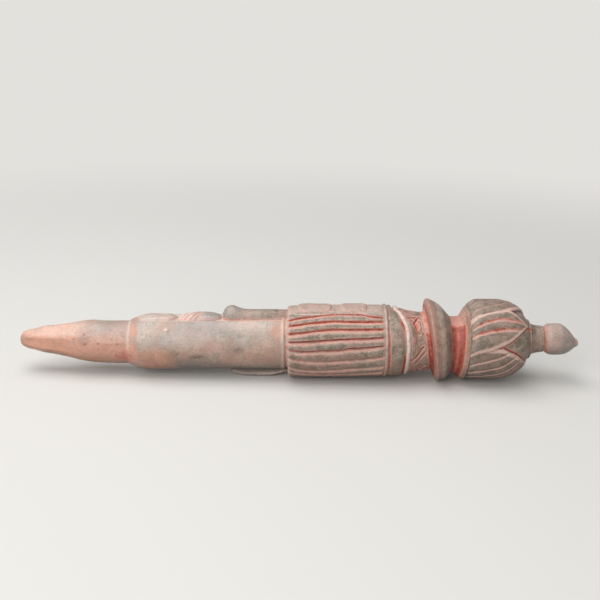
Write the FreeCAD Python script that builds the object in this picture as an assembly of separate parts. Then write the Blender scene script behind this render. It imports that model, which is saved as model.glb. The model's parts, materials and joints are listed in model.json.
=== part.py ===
import FreeCAD, Part
import math
import os

from FreeCAD import Vector

# A fertility doll carved from one soft stone, lying on its back. Lengths are in millimetres and
# angles in degrees. The stone is built along +X, from the tip of its peg to the end of its knob,
# with its axis at y = z = 0 and its front facing +Z. At the end it is laid down on its flange and
# its back bar. Each carved zone is a solid of its own, and neighbours meet face to face.

# Peg: a whittled point and a round shank.
point_length = 30.0
point_tip_radius = 2.6
point_base_radius = 9.5
point_facets = 6
point_facet_turn = 52.0
shank_length = 28.0
shank_taper_length = 12.0
peg_radius = 11.4

# Shaft: a plain round body with a flat on its front, and a shorter one on its back.
shaft_length = 85.5
shaft_radius = 14.8
shoulder_length = 9.0
flat_height = 13.2
flat_start = 6.5
waist_groove_width = 2.0
waist_groove_depth = 1.3

# What stands up from the two flats, from the peg end to the drum.
pad_start = 8.5
pad_length = 19.0
pad_width = 11.6
pad_rise = 1.9
pad_corner = 2.5
rope_pad_gap = 1.5
rope_pad_length = 22.5
rope_pad_rise = 2.1
strand_count = 5
strand_radius = 1.9
strand_length = 8.0
strand_pitch = 2.7
strand_lean = 52.0
strand_rise = 1.3
hump_length = 10.0
hump_rise = 3.2
bar_radius = 4.7
bar_head_radius = 4.8
bar_head_rise = 2.0
bar_gap = 0.2
back_bar_offset = 2.8
back_bar_rise = 5.5
back_bar_round = 1.6

# Drum: ribs all round, apart from a smooth front panel that carries two tablets.
drum_length = 51.0
drum_radius = 19.8
drum_rim_round = 1.8
rib_count = 18
rib_depth = 1.2
panel_half_angle = 27.0
panel_depth = 0.8
tablet_rise = 0.9
tablet_half_angle = 20.0
lower_tablet_start = 5.5
lower_tablet_length = 18.0
tablet_gap = 4.5
upper_tablet_length = 14.5
tablet_corner = 2.0

# Rings above the drum. The ridge, the zigzag band and the flange lean towards the back.
edge_ring_width = 3.0
edge_ring_step = 0.3
edge_ring_height = 0.9
ring_band_length = 6.5
ring_band_step = 0.5
ring_lean = 7.5
ridge_width = 2.8
ridge_step = 0.7
ridge_height = 1.0
band_length = 12.2
band_start_radius = 17.4
band_waist_radius = 15.7
chevron_count = 9
chevron_depth = 0.9
chevron_slope = 38.0
flange_length = 11.0
flange_radius = 22.3
flange_end_radius = 17.2
flange_lip_round = 1.4
collar_width = 5.0
collar_side_radius = 17.0
collar_groove_radius = 14.6
collar_drop = 1.6

# Dome: two wide petals, front and back, tucked under two narrow ones at the sides.
dome_length = 37.5
dome_radius = 22.0
dome_rim_length = 3.5
core_inset = 2.0
wide_petal_inset = 0.8
petal_end_gap = 0.8
narrow_petal_half_angle = 31.5
narrow_petal_turn = 20.0
narrow_petal_sweep = 40.0
narrow_petal_flutes = 4
wide_petal_half_angle = 68.0
wide_petal_turn = -62.0
wide_petal_flutes = 8
flute_depth = 0.55

# Finial: a short neck and a knob that droops a little at its end.
neck_length = 9.0
neck_base_radius = 8.4
neck_top_radius = 7.1
knob_length = 18.5
knob_radius = 8.8
knob_nub_radius = 2.2
knob_droop = 2.1

# Stations along the axis, from the tip, and heights from the axis.
shank_start = point_length
shaft_start = shank_start + shank_length
drum_start = shaft_start + shaft_length
panel_radius = drum_radius - panel_depth
edge_ring_start = drum_start + drum_length
edge_ring_radius = drum_radius - edge_ring_step
ring_band_start = edge_ring_start + edge_ring_width
ring_band_radius = edge_ring_radius - ring_band_step
ridge_radius = ring_band_radius - ridge_step
ridge_start = ring_band_start + ring_band_length
lean_share = math.cos(math.radians(ring_lean))
band_start = ridge_start + ridge_width / lean_share
flange_start = band_start + band_length / lean_share
collar_start = flange_start + flange_length
dome_start = collar_start + collar_width
neck_start = dome_start + dome_length
knob_start = neck_start + neck_length
stone_length = knob_start + knob_length

flat_end = drum_start - waist_groove_width
rope_pad_start = shaft_start + pad_start + pad_length + rope_pad_gap
front_bar_start = rope_pad_start + rope_pad_length + bar_gap
back_bar_start = front_bar_start + back_bar_offset
pad_top_radius = flat_height + pad_rise
rope_pad_top_radius = flat_height + rope_pad_rise
strand_height = flat_height + strand_rise
back_bar_reach = flat_height + back_bar_rise
stone_reach = 2 * (flange_radius + drum_radius)
x_axis = Vector(1, 0, 0)
y_axis = Vector(0, 1, 0)


def straight(points):
    """Edges that join the points one after another, each point being (along, out)."""
    ends = [Vector(along, 0, out) for along, out in points]
    return [Part.makeLine(a, b) for a, b in zip(ends, ends[1:]) if a.distanceToPoint(b) > 1e-6]


def arc(start, through, end):
    """The round edge through three points, each being (along, out)."""
    points = [Vector(along, 0, out) for along, out in (start, through, end)]
    return [Part.Arc(*points).toShape()]


def turned(outline, first, last):
    """The solid that the outline makes when its ends are joined to the axis and it is turned round."""
    closing = straight([last, (last[0], 0), (first[0], 0), first])
    face = Part.Face(Part.Wire(Part.__sortEdges__(outline + closing)))
    return face.revolve(Vector(0, 0, 0), x_axis, 360)


def leaned(shape, station):
    """The shape tipped about the point of the axis at that station, front towards the peg."""
    tipped = shape.copy()
    tipped.rotate(Vector(station, 0, 0), y_axis, -ring_lean)
    return tipped


def beyond(station, towards_knob, leaning=False):
    """A block that holds all there is on one side of a station of the axis."""
    start = station if towards_knob else station - stone_reach
    corner = Vector(start, -stone_reach / 2, -stone_reach / 2)
    block = Part.makeBox(stone_reach, stone_reach, stone_reach, corner)
    return leaned(block, station) if leaning else block


def around(shape, angle):
    """The shape turned about the axis, from the doll's left side (-Y) towards its front (+Z)."""
    copy = shape.copy()
    copy.rotate(Vector(0, 0, 0), x_axis, -angle)
    return copy


def polar(station, radius, angle):
    """A point on the round, at an angle from the doll's left side (-Y) towards its front (+Z)."""
    turn = math.radians(angle)
    return Vector(station, -radius * math.cos(turn), radius * math.sin(turn))


def peg_point():
    tip = (0, 0)
    cheek = (0.42 * point_tip_radius, point_tip_radius)
    base = (point_length, point_base_radius)
    middle = (0.45 * point_length, 0.2 * point_tip_radius + 0.65 * point_base_radius)
    nose = arc(tip, (0.12 * point_tip_radius, 0.6 * point_tip_radius), cheek) + arc(cheek, middle, base)
    round_point = turned(nose, tip, base)
    # Flat cuts meet in soft ridges and run out where the shank begins.
    small = point_prism_ring(-0.5, 0.9 * point_tip_radius)
    large = point_prism_ring(1.02 * point_length, point_base_radius)
    return round_point.common(Part.makeLoft([small, large], True, True))


def point_prism_ring(station, flat_distance):
    corner_radius = flat_distance / math.cos(math.pi / point_facets)
    step = 360.0 / point_facets
    corners = [polar(station, corner_radius, point_facet_turn + step * (i + 0.5)) for i in range(point_facets)]
    return Part.makePolygon(corners + corners[:1])


def peg_shank():
    base = (shank_start, point_base_radius)
    swell_end = (shank_start + shank_taper_length, peg_radius)
    rise = peg_radius - point_base_radius
    top = (shaft_start, peg_radius)
    swell = arc(base, (shank_start + 0.45 * shank_taper_length, point_base_radius + 0.7 * rise), swell_end)
    return turned(swell + straight([swell_end, top]), base, top)


def round_shaft():
    rise = shaft_radius - peg_radius
    step = (shaft_start, peg_radius)
    half = (shaft_start + 0.45 * shoulder_length, peg_radius + 0.5 * rise)
    full = (shaft_start + shoulder_length, shaft_radius)
    hollow = arc(step, (shaft_start + 0.28 * shoulder_length, peg_radius + 0.18 * rise), half)
    round_over = arc(half, (shaft_start + 0.65 * shoulder_length, peg_radius + 0.8 * rise), full)
    groove = shaft_radius - waist_groove_depth
    side = straight([full, (flat_end, shaft_radius), (flat_end, groove), (drum_start, groove)])
    return turned(hollow + round_over + side, step, (drum_start, groove))


def shaft_flat(start, facing):
    """The block cut off the shaft to leave a flat, on the front (facing 1) or the back (facing -1)."""
    floor = flat_height if facing > 0 else -flat_height - stone_reach
    corner = Vector(start, -stone_reach / 2, floor)
    return Part.makeBox(flat_end - start, stone_reach, stone_reach, corner)


def shaft():
    body = round_shaft().cut(shaft_flat(shaft_start + flat_start, 1))
    return body.cut(shaft_flat(back_bar_start, -1))


def pad(start, length, width, top_radius):
    """A low pad on the front flat, its top rounded with the shaft."""
    corner = Vector(start, -width / 2, flat_height)
    block = Part.makeBox(length, width, stone_reach, corner)
    upright = [edge for edge in block.Edges if abs(edge.tangentAt(edge.FirstParameter).z) > 0.99]
    block = block.makeFillet(min(pad_corner, 0.45 * width, 0.45 * length), upright)
    rounding = Part.makeCylinder(top_radius, stone_length, Vector(0, 0, 0), x_axis)
    return block.common(rounding)


def lower_front_pad():
    return pad(shaft_start + pad_start, pad_length, pad_width, pad_top_radius)


def rope_pad():
    shape = pad(rope_pad_start, rope_pad_length, pad_width, rope_pad_top_radius)
    # The hump is the cap of a ball that lies mostly inside the stone.
    ball_radius = (hump_length ** 2 / 4 + hump_rise ** 2) / (2 * hump_rise)
    station = rope_pad_start + rope_pad_length - 0.55 * hump_length
    middle = Vector(station, 0, flat_height + hump_rise - ball_radius)
    hump = Part.makeSphere(ball_radius, middle).common(front_block())
    return shape.fuse([hump] + [strand(i) for i in range(strand_count)]).removeSplitter()


def front_block():
    """All there is in front of the front flat."""
    corner = Vector(0, -stone_reach / 2, flat_height)
    return Part.makeBox(stone_length, stone_reach, stone_reach, corner)


def strand(index):
    """One turn of the twisted rope, lying across the pad at a slant."""
    middle = Vector(rope_pad_start + 1.6 * strand_radius + index * strand_pitch, 0, strand_height)
    lean = math.radians(strand_lean)
    half = Vector(math.cos(lean), math.sin(lean), 0) * (0.5 * strand_length)
    return Part.makeCylinder(strand_radius, 2 * half.Length, middle - half, half).common(front_block())


def front_bar():
    head_middle = front_bar_start + bar_head_radius
    slim = 0.9 * bar_radius
    rod = Part.makeCone(bar_radius, slim, flat_end - head_middle, Vector(head_middle, 0, flat_height), x_axis)
    head = Part.makeSphere(bar_head_radius, Vector(head_middle, 0, flat_height + bar_head_rise))
    return rod.fuse(head).common(front_block()).removeSplitter()


def back_bar():
    corner = Vector(back_bar_start, -bar_radius, -back_bar_reach)
    block = Part.makeBox(flat_end - back_bar_start, 2 * bar_radius, back_bar_rise, corner)
    outer = [edge for edge in block.Edges if edge.CenterOfMass.z < -back_bar_reach + 0.01]
    return block.makeFillet(min(back_bar_round, 0.45 * back_bar_rise), outer)


def drum_blank():
    """The round stock that the ribs are cut from, with its rims rounded."""
    low = drum_radius - drum_rim_round
    part_way = drum_rim_round * (1 - math.sqrt(0.5))
    first = (drum_start, low)
    last = (edge_ring_start, low)
    rise = (drum_start + drum_rim_round, drum_radius)
    fall = (edge_ring_start - drum_rim_round, drum_radius)
    left_rim = arc(first, (drum_start + part_way, drum_radius - part_way), rise)
    right_rim = arc(fall, (edge_ring_start - part_way, drum_radius - part_way), last)
    return turned(left_rim + straight([rise, fall]) + right_rim, first, last)


def ribbed_drum():
    span = (360.0 - 2 * panel_half_angle) / rib_count
    first = 90.0 + panel_half_angle
    notch = drum_radius - rib_depth
    edges = []
    for i in range(rib_count):
        low = first + i * span
        crest = polar(drum_start, drum_radius, low + 0.5 * span)
        edges.append(Part.Arc(polar(drum_start, notch, low), crest, polar(drum_start, notch, low + span)).toShape())
    panel_side = (polar(drum_start, notch, first), polar(drum_start, notch, -first - 180.0))
    low_corner = polar(drum_start, panel_radius, first)
    high_corner = polar(drum_start, panel_radius, 90.0 - panel_half_angle)
    edges.append(Part.makeLine(panel_side[0], low_corner))
    edges.append(Part.Arc(low_corner, polar(drum_start, panel_radius, 90.0), high_corner).toShape())
    edges.append(Part.makeLine(high_corner, panel_side[1]))
    section = Part.Face(Part.Wire(Part.__sortEdges__(edges)))
    return section.extrude(Vector(drum_length, 0, 0)).common(drum_blank())


def tablet(start, length):
    """A low tablet that follows the round of the front panel."""
    shell = Part.makeCylinder(panel_radius + tablet_rise, length, Vector(start, 0, 0), x_axis)
    shell = shell.cut(Part.makeCylinder(panel_radius, length, Vector(start, 0, 0), x_axis))
    half_width = panel_radius * math.sin(math.radians(tablet_half_angle))
    block = Part.makeBox(length, 2 * half_width, stone_reach, Vector(start, -half_width, 0))
    upright = [edge for edge in block.Edges if abs(edge.tangentAt(edge.FirstParameter).z) > 0.99]
    return shell.common(block.makeFillet(min(tablet_corner, 0.45 * length), upright))


def lower_tablet():
    return tablet(drum_start + lower_tablet_start, lower_tablet_length)


def upper_tablet():
    start = drum_start + lower_tablet_start + lower_tablet_length + tablet_gap
    return tablet(start, upper_tablet_length)


def bead(start, width, radius, height):
    """A ring round the stone with a narrow crown and sloping sides."""
    low = radius - height
    side = [
        (start, low),
        (start + 0.38 * width, radius),
        (start + 0.62 * width, radius),
        (start + width, low),
    ]
    return turned(straight(side), side[0], side[-1])


def edge_ring():
    return bead(edge_ring_start, edge_ring_width, edge_ring_radius, edge_ring_height)


def ring_band():
    first = (ring_band_start, ring_band_radius)
    last = (ridge_start + 0.5 * ring_band_length, ring_band_radius)
    return turned(straight([first, last]), first, last).cut(beyond(ridge_start, True, True))


def pale_ridge():
    return leaned(bead(ridge_start, ridge_width, ridge_radius, ridge_height), ridge_start)


def zigzag_band():
    first = (band_start, band_start_radius)
    last = (band_start + band_length, band_waist_radius)
    waist = (band_start + 0.75 * band_length, band_waist_radius)
    body = turned(straight([first, waist, last]), first, last)
    for i in range(chevron_count):
        turn = 360.0 * i / chevron_count
        body = body.cut([chevron_cut(turn, chevron_slope), chevron_cut(turn + 180.0 / chevron_count, -chevron_slope)])
    return leaned(body, band_start)


def chevron_cut(turn, slope):
    """A V-shaped bar laid across the band, at a slope to the axis."""
    middle = band_start + 0.47 * band_length
    surface = 0.5 * (band_start_radius + band_waist_radius)
    half_width = 0.8
    reach = 0.42 * band_length / math.cos(math.radians(slope))
    corners = [
        Vector(-reach, -half_width, surface + 1.0),
        Vector(-reach, half_width, surface + 1.0),
        Vector(-reach, 0, surface - chevron_depth),
    ]
    bar = Part.Face(Part.makePolygon(corners + corners[:1])).extrude(Vector(2 * reach, 0, 0))
    bar.rotate(Vector(0, 0, 0), Vector(0, 0, 1), slope)
    bar.translate(Vector(middle, 0, 0))
    return around(bar, turn)


def flange():
    slope = (flange_radius - flange_end_radius) / (0.85 * flange_length)
    lip = (flange_start, flange_radius - flange_lip_round)
    peak = (flange_start + flange_lip_round, flange_radius)
    reach = flange_start + flange_length + 0.3 * flange_radius
    last = (reach, flange_radius - slope * (reach - peak[0]))
    bend = flange_lip_round * (1 - math.sqrt(0.5))
    round_lip = arc(lip, (flange_start + bend, flange_radius - bend), peak)
    body = leaned(turned(round_lip + straight([peak, last]), lip, last), flange_start)
    return body.cut(beyond(collar_start, True))


def collar():
    """A hollow ring, cut deeper on the front than on the back."""
    first = (collar_start, collar_side_radius)
    last = (dome_start, collar_side_radius)
    hollow = arc(first, (collar_start + 0.5 * collar_width, collar_groove_radius), last)
    body = turned(hollow, first, last)
    body.translate(Vector(0, 0, -collar_drop))
    return body


def dome_radius_at(station):
    """The dome's outer radius, widest about a third of the way up."""
    widest = dome_start + 0.35 * dome_length
    reach = 0.705 * dome_length if station > widest else 0.415 * dome_length
    share = abs(station - widest) / reach
    return dome_radius * math.sqrt(1 - share ** 3.2)


def dome_arc(first_share, last_share, inset):
    """A round stretch of the dome's outline between two shares of its length."""
    shares = (first_share, 0.5 * (first_share + last_share), last_share)
    points = [(dome_start + share * dome_length, dome_radius_at(dome_start + share * dome_length) - inset)
              for share in shares]
    return arc(*points), points[0], points[2]


def dome_core():
    rim_share = dome_rim_length / dome_length
    rim, rim_first, rim_last = dome_arc(0.0, rim_share, 0.0)
    breaks = (rim_share, 0.3, 0.7, 0.86, 1.0)
    outline = []
    ends = []
    for low, high in zip(breaks, breaks[1:]):
        stretch, first, last = dome_arc(low, high, core_inset)
        outline += stretch
        ends += [first, last]
    return turned(rim + straight([rim_last, ends[0]]) + outline, rim_first, ends[-1])


def petal_wedge(half_angle, turn, sweep, flutes, inset):
    """A fluted leaf from the dome's rim to its top, as a wedge down to the axis."""
    start = dome_start + dome_rim_length
    end = neck_start - petal_end_gap
    rings = []
    for share in (0.0, 0.12, 0.32, 0.5, 0.64, 0.76, 0.86, 0.93, 0.97):
        station = start + share * (end - start)
        middle = turn + sweep * share ** 2.5
        half = half_angle * (1 - share ** 5) ** 0.6
        radius = dome_radius_at(station) - inset
        rings.append(petal_section(station, radius, middle, half, flutes))
    return Part.makeLoft(rings, True, True)


def petal_section(station, radius, middle, half, flutes):
    """A slice of the leaf: a row of round flutes, closed to the axis."""
    step = 2 * half / flutes
    edges = []
    for i in range(flutes):
        low = middle - half + i * step
        ends = (polar(station, radius - flute_depth, low), polar(station, radius - flute_depth, low + step))
        edges.append(Part.Arc(ends[0], polar(station, radius, low + 0.5 * step), ends[1]).toShape())
    centre = Vector(station, 0, 0)
    edges.append(Part.makeLine(edges[-1].Vertexes[-1].Point, centre))
    edges.append(Part.makeLine(centre, edges[0].Vertexes[0].Point))
    return Part.Wire(edges)


def narrow_petal(side):
    turn = narrow_petal_turn + 180.0 * side
    wedge = petal_wedge(narrow_petal_half_angle, turn, narrow_petal_sweep, narrow_petal_flutes, 0.0)
    return wedge.cut(dome_core())


def wide_petal(side):
    turn = wide_petal_turn + 180.0 * side
    wedge = petal_wedge(wide_petal_half_angle, turn, 0.0, wide_petal_flutes, wide_petal_inset)
    return wedge.cut([dome_core(), narrow_petal(0), narrow_petal(1)])


def finial_neck():
    first = (neck_start, neck_base_radius)
    last = (knob_start, neck_top_radius)
    hollow = arc(first, (neck_start + 0.5 * neck_length, neck_top_radius + 0.3), last)
    return turned(hollow, first, last)


def finial_knob():
    """A rounded bud that droops towards the back and ends in a small flat nub."""
    foot = (knob_start - 0.1 * knob_length, neck_top_radius - 0.6)
    belly = (knob_start + 0.32 * knob_length, knob_radius)
    cheek = (knob_start + 0.66 * knob_length, 0.78 * knob_radius)
    nub = (knob_start + knob_length, knob_nub_radius)
    lower = arc(foot, (knob_start + 0.1 * knob_length, 0.94 * knob_radius), belly)
    middle = arc(belly, (knob_start + 0.5 * knob_length, 0.94 * knob_radius), cheek)
    upper = arc(cheek, (knob_start + 0.85 * knob_length, 0.54 * knob_radius), nub)
    bud = turned(lower + middle + upper, foot, nub)
    droop = math.degrees(math.asin(knob_droop / knob_length))
    bud.rotate(Vector(knob_start, 0, 0), y_axis, droop)
    return bud.cut(beyond(knob_start, False))


def laid_down(pieces):
    """The pieces tipped so that the flange and the back bar rest on z = 0, centred over the origin."""
    # The flange rests on the underside of its round lip.
    lean = math.radians(ring_lean)
    across = flange_radius - flange_lip_round
    flange_foot = flange_start + flange_lip_round * math.cos(lean) + across * math.sin(lean)
    flange_reach = across * math.cos(lean) - flange_lip_round * math.sin(lean) + flange_lip_round
    bar_foot = back_bar_start + back_bar_round
    tip = math.degrees(math.atan2(flange_reach - back_bar_reach, flange_foot - bar_foot))
    for shape in pieces.values():
        shape.rotate(Vector(0, 0, 0), y_axis, -tip)
    box = Part.makeCompound(list(pieces.values())).optimalBoundingBox(False)
    for shape in pieces.values():
        shape.translate(Vector(-box.Center.x, -box.Center.y, -box.ZMin))
    return pieces


def doll():
    return {
        "peg_point": peg_point(),
        "peg_shank": peg_shank(),
        "shaft": shaft(),
        "lower_front_pad": lower_front_pad(),
        "rope_pad": rope_pad(),
        "front_bar": front_bar(),
        "back_bar": back_bar(),
        "ribbed_drum": ribbed_drum(),
        "lower_tablet": lower_tablet(),
        "upper_tablet": upper_tablet(),
        "edge_ring": edge_ring(),
        "ring_band": ring_band(),
        "pale_ridge": pale_ridge(),
        "zigzag_band": zigzag_band(),
        "flange": flange(),
        "collar": collar(),
        "dome_core": dome_core(),
        "left_petal": narrow_petal(0),
        "right_petal": narrow_petal(1),
        "back_petal": wide_petal(0),
        "front_petal": wide_petal(1),
        "finial_neck": finial_neck(),
        "finial_knob": finial_knob(),
    }


os.makedirs("parts", exist_ok=True)
for name, shape in laid_down(doll()).items():
    shape.exportStep(os.path.join("parts", name + ".step"))
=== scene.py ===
# A hand-carved soapstone fertility doll lying on its back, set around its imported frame.
# Work sizes are in millimetres along and around the stone, and turn to metres when a mesh is made.
import json
import math

import bpy
import numpy as np
from mathutils import Matrix, Vector


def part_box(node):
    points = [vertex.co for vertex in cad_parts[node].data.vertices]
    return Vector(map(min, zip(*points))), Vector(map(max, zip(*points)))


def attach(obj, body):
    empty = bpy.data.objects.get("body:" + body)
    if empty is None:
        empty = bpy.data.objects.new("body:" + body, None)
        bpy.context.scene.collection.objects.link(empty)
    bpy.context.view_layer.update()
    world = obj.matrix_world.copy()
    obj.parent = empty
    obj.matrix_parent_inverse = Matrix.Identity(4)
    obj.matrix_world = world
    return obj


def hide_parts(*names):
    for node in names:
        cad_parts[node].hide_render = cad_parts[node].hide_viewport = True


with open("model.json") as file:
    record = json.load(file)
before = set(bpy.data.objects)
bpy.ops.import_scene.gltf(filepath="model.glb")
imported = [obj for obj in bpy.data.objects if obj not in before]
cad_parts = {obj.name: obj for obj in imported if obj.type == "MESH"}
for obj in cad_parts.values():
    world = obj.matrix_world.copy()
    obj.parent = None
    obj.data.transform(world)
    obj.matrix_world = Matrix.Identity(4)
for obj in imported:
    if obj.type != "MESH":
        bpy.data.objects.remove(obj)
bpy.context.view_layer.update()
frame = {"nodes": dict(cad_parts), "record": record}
print("frame loaded with", len(frame["nodes"]), "nodes")

# The stone's own directions: along it from the tip of the peg, its right side, and its carved front.
pegMount = frame["record"]["mounts"][0]
alongStone = -np.array(pegMount["axis"], float)
alongStone /= np.linalg.norm(alongStone)
rightOfStone = np.array([0.0, 1.0, 0.0])
frontOfStone = np.array([-alongStone[2], 0.0, alongStone[0]])
tilt = math.asin(alongStone[2])
pegMiddle = np.array(pegMount["pos_m"], float)
tipPoint = pegMiddle + alongStone * (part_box("peg_point")[0].x - pegMiddle[0]) / alongStone[0]

ringLean = 7.5  # degrees that the ridge, the zigzag band and the flange lean towards the back
# How far out the first face of each zone reaches on its front, and how much it leans.
firstFaces = {
    "peg_shank": (9.5, 0), "shaft": (11.4, 0), "ribbed_drum": (18, 0), "edge_ring": (18.6, 0),
    "ring_band": (19, 0), "pale_ridge": (17.3, ringLean), "zigzag_band": (17.4, ringLean),
    "flange": (20.9, ringLean), "collar": (15.4, 0), "dome_core": (14.3, 0), "finial_neck": (8.4, 0),
    "finial_knob": (7.6, 0), "lower_front_pad": (15.1, 0), "rope_pad": (15.2, 0),
    "front_bar": (15.2, 0), "back_bar": (-13.2, 0), "lower_tablet": (19.9, 0),
    "upper_tablet": (19.9, 0),
}
starts = {"peg_point": 0.0}
for node, (reach, leanAngle) in firstFaces.items():
    gone = (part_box(node)[0].x - tipPoint[0]) * 1000
    starts[node] = (gone + reach * math.sin(tilt + math.radians(leanAngle))) / math.cos(tilt)
stoneEnd = ((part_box("finial_knob")[1].x - tipPoint[0]) * 1000 - 4.3 * math.sin(tilt)) / math.cos(tilt)
print("stations", {node: round(start, 2) for node, start in starts.items()}, round(stoneEnd, 2))


# Small helpers for shapes.
def soft(low, high, value):
    share = np.clip((value - low) / (high - low), 0, 1)
    return share * share * (3 - 2 * share)


def between(value, low, full, stillFull, high):
    # Rises from low to full, and falls again from stillFull to high.
    return soft(low, full, value) * soft(high, stillFull, value)


def turnFrom(angle, middle):
    return (angle - middle + 180) % 360 - 180


def mmAround(angle, middle, radius):
    return turnFrom(angle, middle) * math.pi / 180 * radius


def quarterRound(share):
    # Rises steeply from 0 and bends over to 1.
    return np.sqrt(np.clip(1 - (1 - np.clip(share, 0, 1)) ** 2, 0, 1))


def bell(away, width):
    return np.exp(-(away / width) ** 2)


def curve(points):
    # A smooth line through the points that doesn't swing past them.
    xs, ys = np.array(points, float).T
    steps = np.diff(ys) / np.diff(xs)
    slopes = np.zeros(len(xs))
    same = steps[:-1] * steps[1:] > 0
    slopes[1:-1][same] = 2 * steps[:-1][same] * steps[1:][same] / (steps[:-1] + steps[1:])[same]
    slopes[0], slopes[-1] = steps[0], steps[-1]

    def at(x):
        x = np.clip(x, xs[0], xs[-1])
        i = np.clip(np.searchsorted(xs, x, side="right") - 1, 0, len(xs) - 2)
        width = xs[i + 1] - xs[i]
        t = (x - xs[i]) / width
        rise = ys[i + 1] - ys[i]
        bend = slopes[i] * width * t * (1 - t) ** 2 - slopes[i + 1] * width * t * t * (1 - t)
        return ys[i] + rise * t * t * (3 - 2 * t) + bend

    return at


def roughness3d(points, size, seed):
    # Smooth random bumps about as wide as size, from -1 to 1.
    table = np.random.default_rng(seed).uniform(-1, 1, (32, 32, 32))
    cell = points / size + 0.37 * seed
    low = np.floor(cell).astype(int)
    part = cell - low
    part = part * part * (3 - 2 * part)
    total = 0.0
    for corner in np.ndindex(2, 2, 2):
        share = 1.0
        for axis, step in enumerate(corner):
            share = share * (part[..., axis] if step else 1 - part[..., axis])
        i, j, k = ((low[..., axis] + step) % 32 for axis, step in enumerate(corner))
        total = total + share * table[i, j, k]
    return total


def onRound(s, angle, radius=16.0):
    turn = np.radians(angle)
    return np.stack([s + 0 * turn, -radius * np.cos(turn) + 0 * s, radius * np.sin(turn) + 0 * s], -1)


def bumps(s, angle, size, seed, radius=16.0):
    return roughness3d(onRound(s, angle, radius), size, seed)


def flatBumps(xs, ys, size, seed):
    return roughness3d(np.stack([xs, ys, 0 * xs], -1), size, seed)


def turnings(s, angle, pitch, seed):
    # Fine rings, as scraping round and round leaves them.
    return roughness3d(np.stack(np.broadcast_arrays(s * pitch, angle * 0.03, 0 * angle), -1), 1.0, seed)


def cutLine(s, angle, points, radius):
    # How far each spot is from a line on the round, in mm. Points are (station, angle).
    nearest = np.full(np.broadcast(s, angle).shape, 1e3)
    for (s0, a0), (s1, a1) in zip(points, points[1:]):
        perDegree = math.pi / 180 * radius
        run, lift = s1 - s0, (a1 - a0) * perDegree
        dx, dy = s - s0, turnFrom(angle, a0) * perDegree
        share = np.clip((dx * run + dy * lift) / (run * run + lift * lift), 0, 1)
        nearest = np.minimum(nearest, np.hypot(dx - share * run, dy - share * lift))
    return nearest


# Pigment, wear and stains that run over the whole stone, and painted shade low along the shaft's underside.
# Each is (station, angle, reach along, reach around in mm, strength).
stainsAndShade = {
    "warm": [(8, 0, 30, 60, 1), (45, -20, 16, 16, 0.75), (60, -14, 5, 9, 0.9), (62.5, 45, 1.8, 4, 0.9),
             (74, -30, 10, 9, 0.75), (132, -6, 10, 8, 0.35), (138, 38, 3, 4, 0.5), (107, 66, 3, 2, 0.8),
             (100, 10, 16, 5, 0.2), (120, -30, 14, 6, 0.35), (90, 0, 9, 5, 0.3)],
    "pale": [(12, 75, 14, 8, 0.38), (24, 60, 9, 6, 0.35), (79.5, 44.5, 1, 0.7, 0.9),
             (59.4, 20, 0.8, 14, 0.6), (90, 25, 12, 5, 0.25), (122, 62, 12, 6, 0.3), (70, 40, 5, 7, 0.25)],
    "cool": [(46, 62, 13, 9, 0.35), (68, 62, 5, 5, 0.6), (100, 58, 16, 9, 0.8), (92, -45, 8, 4, 0.7),
             # the last cool mark, low along the shaft's underside, is painted shade
             (85, 22, 14, 4, 0.4), (118, 30, 12, 8, 0.3), (112, -64, 30, 6, 0.7)],
    "dark": [(92, -46, 7, 3, 0.45), (1.5, -22, 2.5, 2.5, 0.3), (96, -16, 4, 1.8, 0.45),
             (90, -30, 8, 3, 0.34), (36, 20, 3, 3.5, 0.30), (118, 0, 2.5, 1.4, 0.36),
             (52, 12, 9, 1, 0.14), (84, -14, 4, 3, 0.26), (104, -40, 8, 3.5, 0.32),
             # the last dark mark, low along the shaft's underside, is painted shade
             (106, -64, 26, 4.5, 0.36)],
    "ochre": [(56, -21, 6, 6, 0.5), (60, -14, 4, 6, 0.42), (62.5, 45, 1.4, 3.4, 0.28),
              (140, 30, 1.5, 9, 0.16)],
}
# Small holes in the stone: (station, angle, how wide, how deep).
holes = [
    (31, 22.5, 0.9, 0.30), (36.2, 36.5, 1, 0.35), (37, 8, 1.2, 0.45), (44, 11.5, 0.8, 0.30),
    (51.2, 24.5, 0.7, 0.25), (54, 11.5, 0.8, 0.25), (86.2, -8, 1, 0.35), (85.5, -23.5, 0.8, 0.3),
    (95.5, -18, 1.4, 0.35), (97.8, -15.5, 1, 0.35), (118.2, 0.5, 1.3, 0.35), (77.5, -29.5, 0.7, 0.25),
    (72, 30, 0.6, 0.2), (104, -38, 0.8, 0.3), (126, 24, 0.5, 0.2),
]
scatter = np.random.default_rng(11)
for _ in range(30):  # the unseen sides have their share of holes too
    holes.append((scatter.uniform(30, 140), scatter.uniform(110, 300), scatter.uniform(0.4, 0.9), 0.2))


def stoneMarks(s, angle):
    ragged = bumps(s, angle, 5.0, 5) * 0.5 + bumps(s, angle, 2.0, 6) * 0.3
    marks = {kind: np.zeros(ragged.shape) for kind in stainsAndShade}
    for kind, spots in stainsAndShade.items():
        for at, turn, along, across, strength in spots:
            away = ((s - at) / along) ** 2 + (mmAround(angle, turn, 15) / across) ** 2
            mark(marks, **{kind: strength * soft(2.1, 0.0, away + 0.7 * ragged)})
    return marks


def holesIn(s, angle, radius, marks):
    depth = np.zeros(marks["dark"].shape)
    ragged = bumps(s, angle, 0.9, 7)
    for at, turn, wide, deep in holes:
        away = np.hypot(s - at, mmAround(angle, turn, radius)) / wide + 0.3 * ragged
        depth = np.maximum(depth, deep * soft(1.0, 0.2, away))
        mark(marks, dark=0.5 * soft(1.3, 0.0, away))
    return depth


# What a rasp and a knife leave: a slight unevenness, as (height, width in mm, seed).
toolMarks = [(0.16, 11, 2), (0.07, 4, 3), (0.025, 1.4, 4)]


def handWork(s, angle):
    # It is the same on both sides of a joint.
    return sum(height * bumps(s, angle, width, seed) for height, width, seed in toolMarks)


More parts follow.
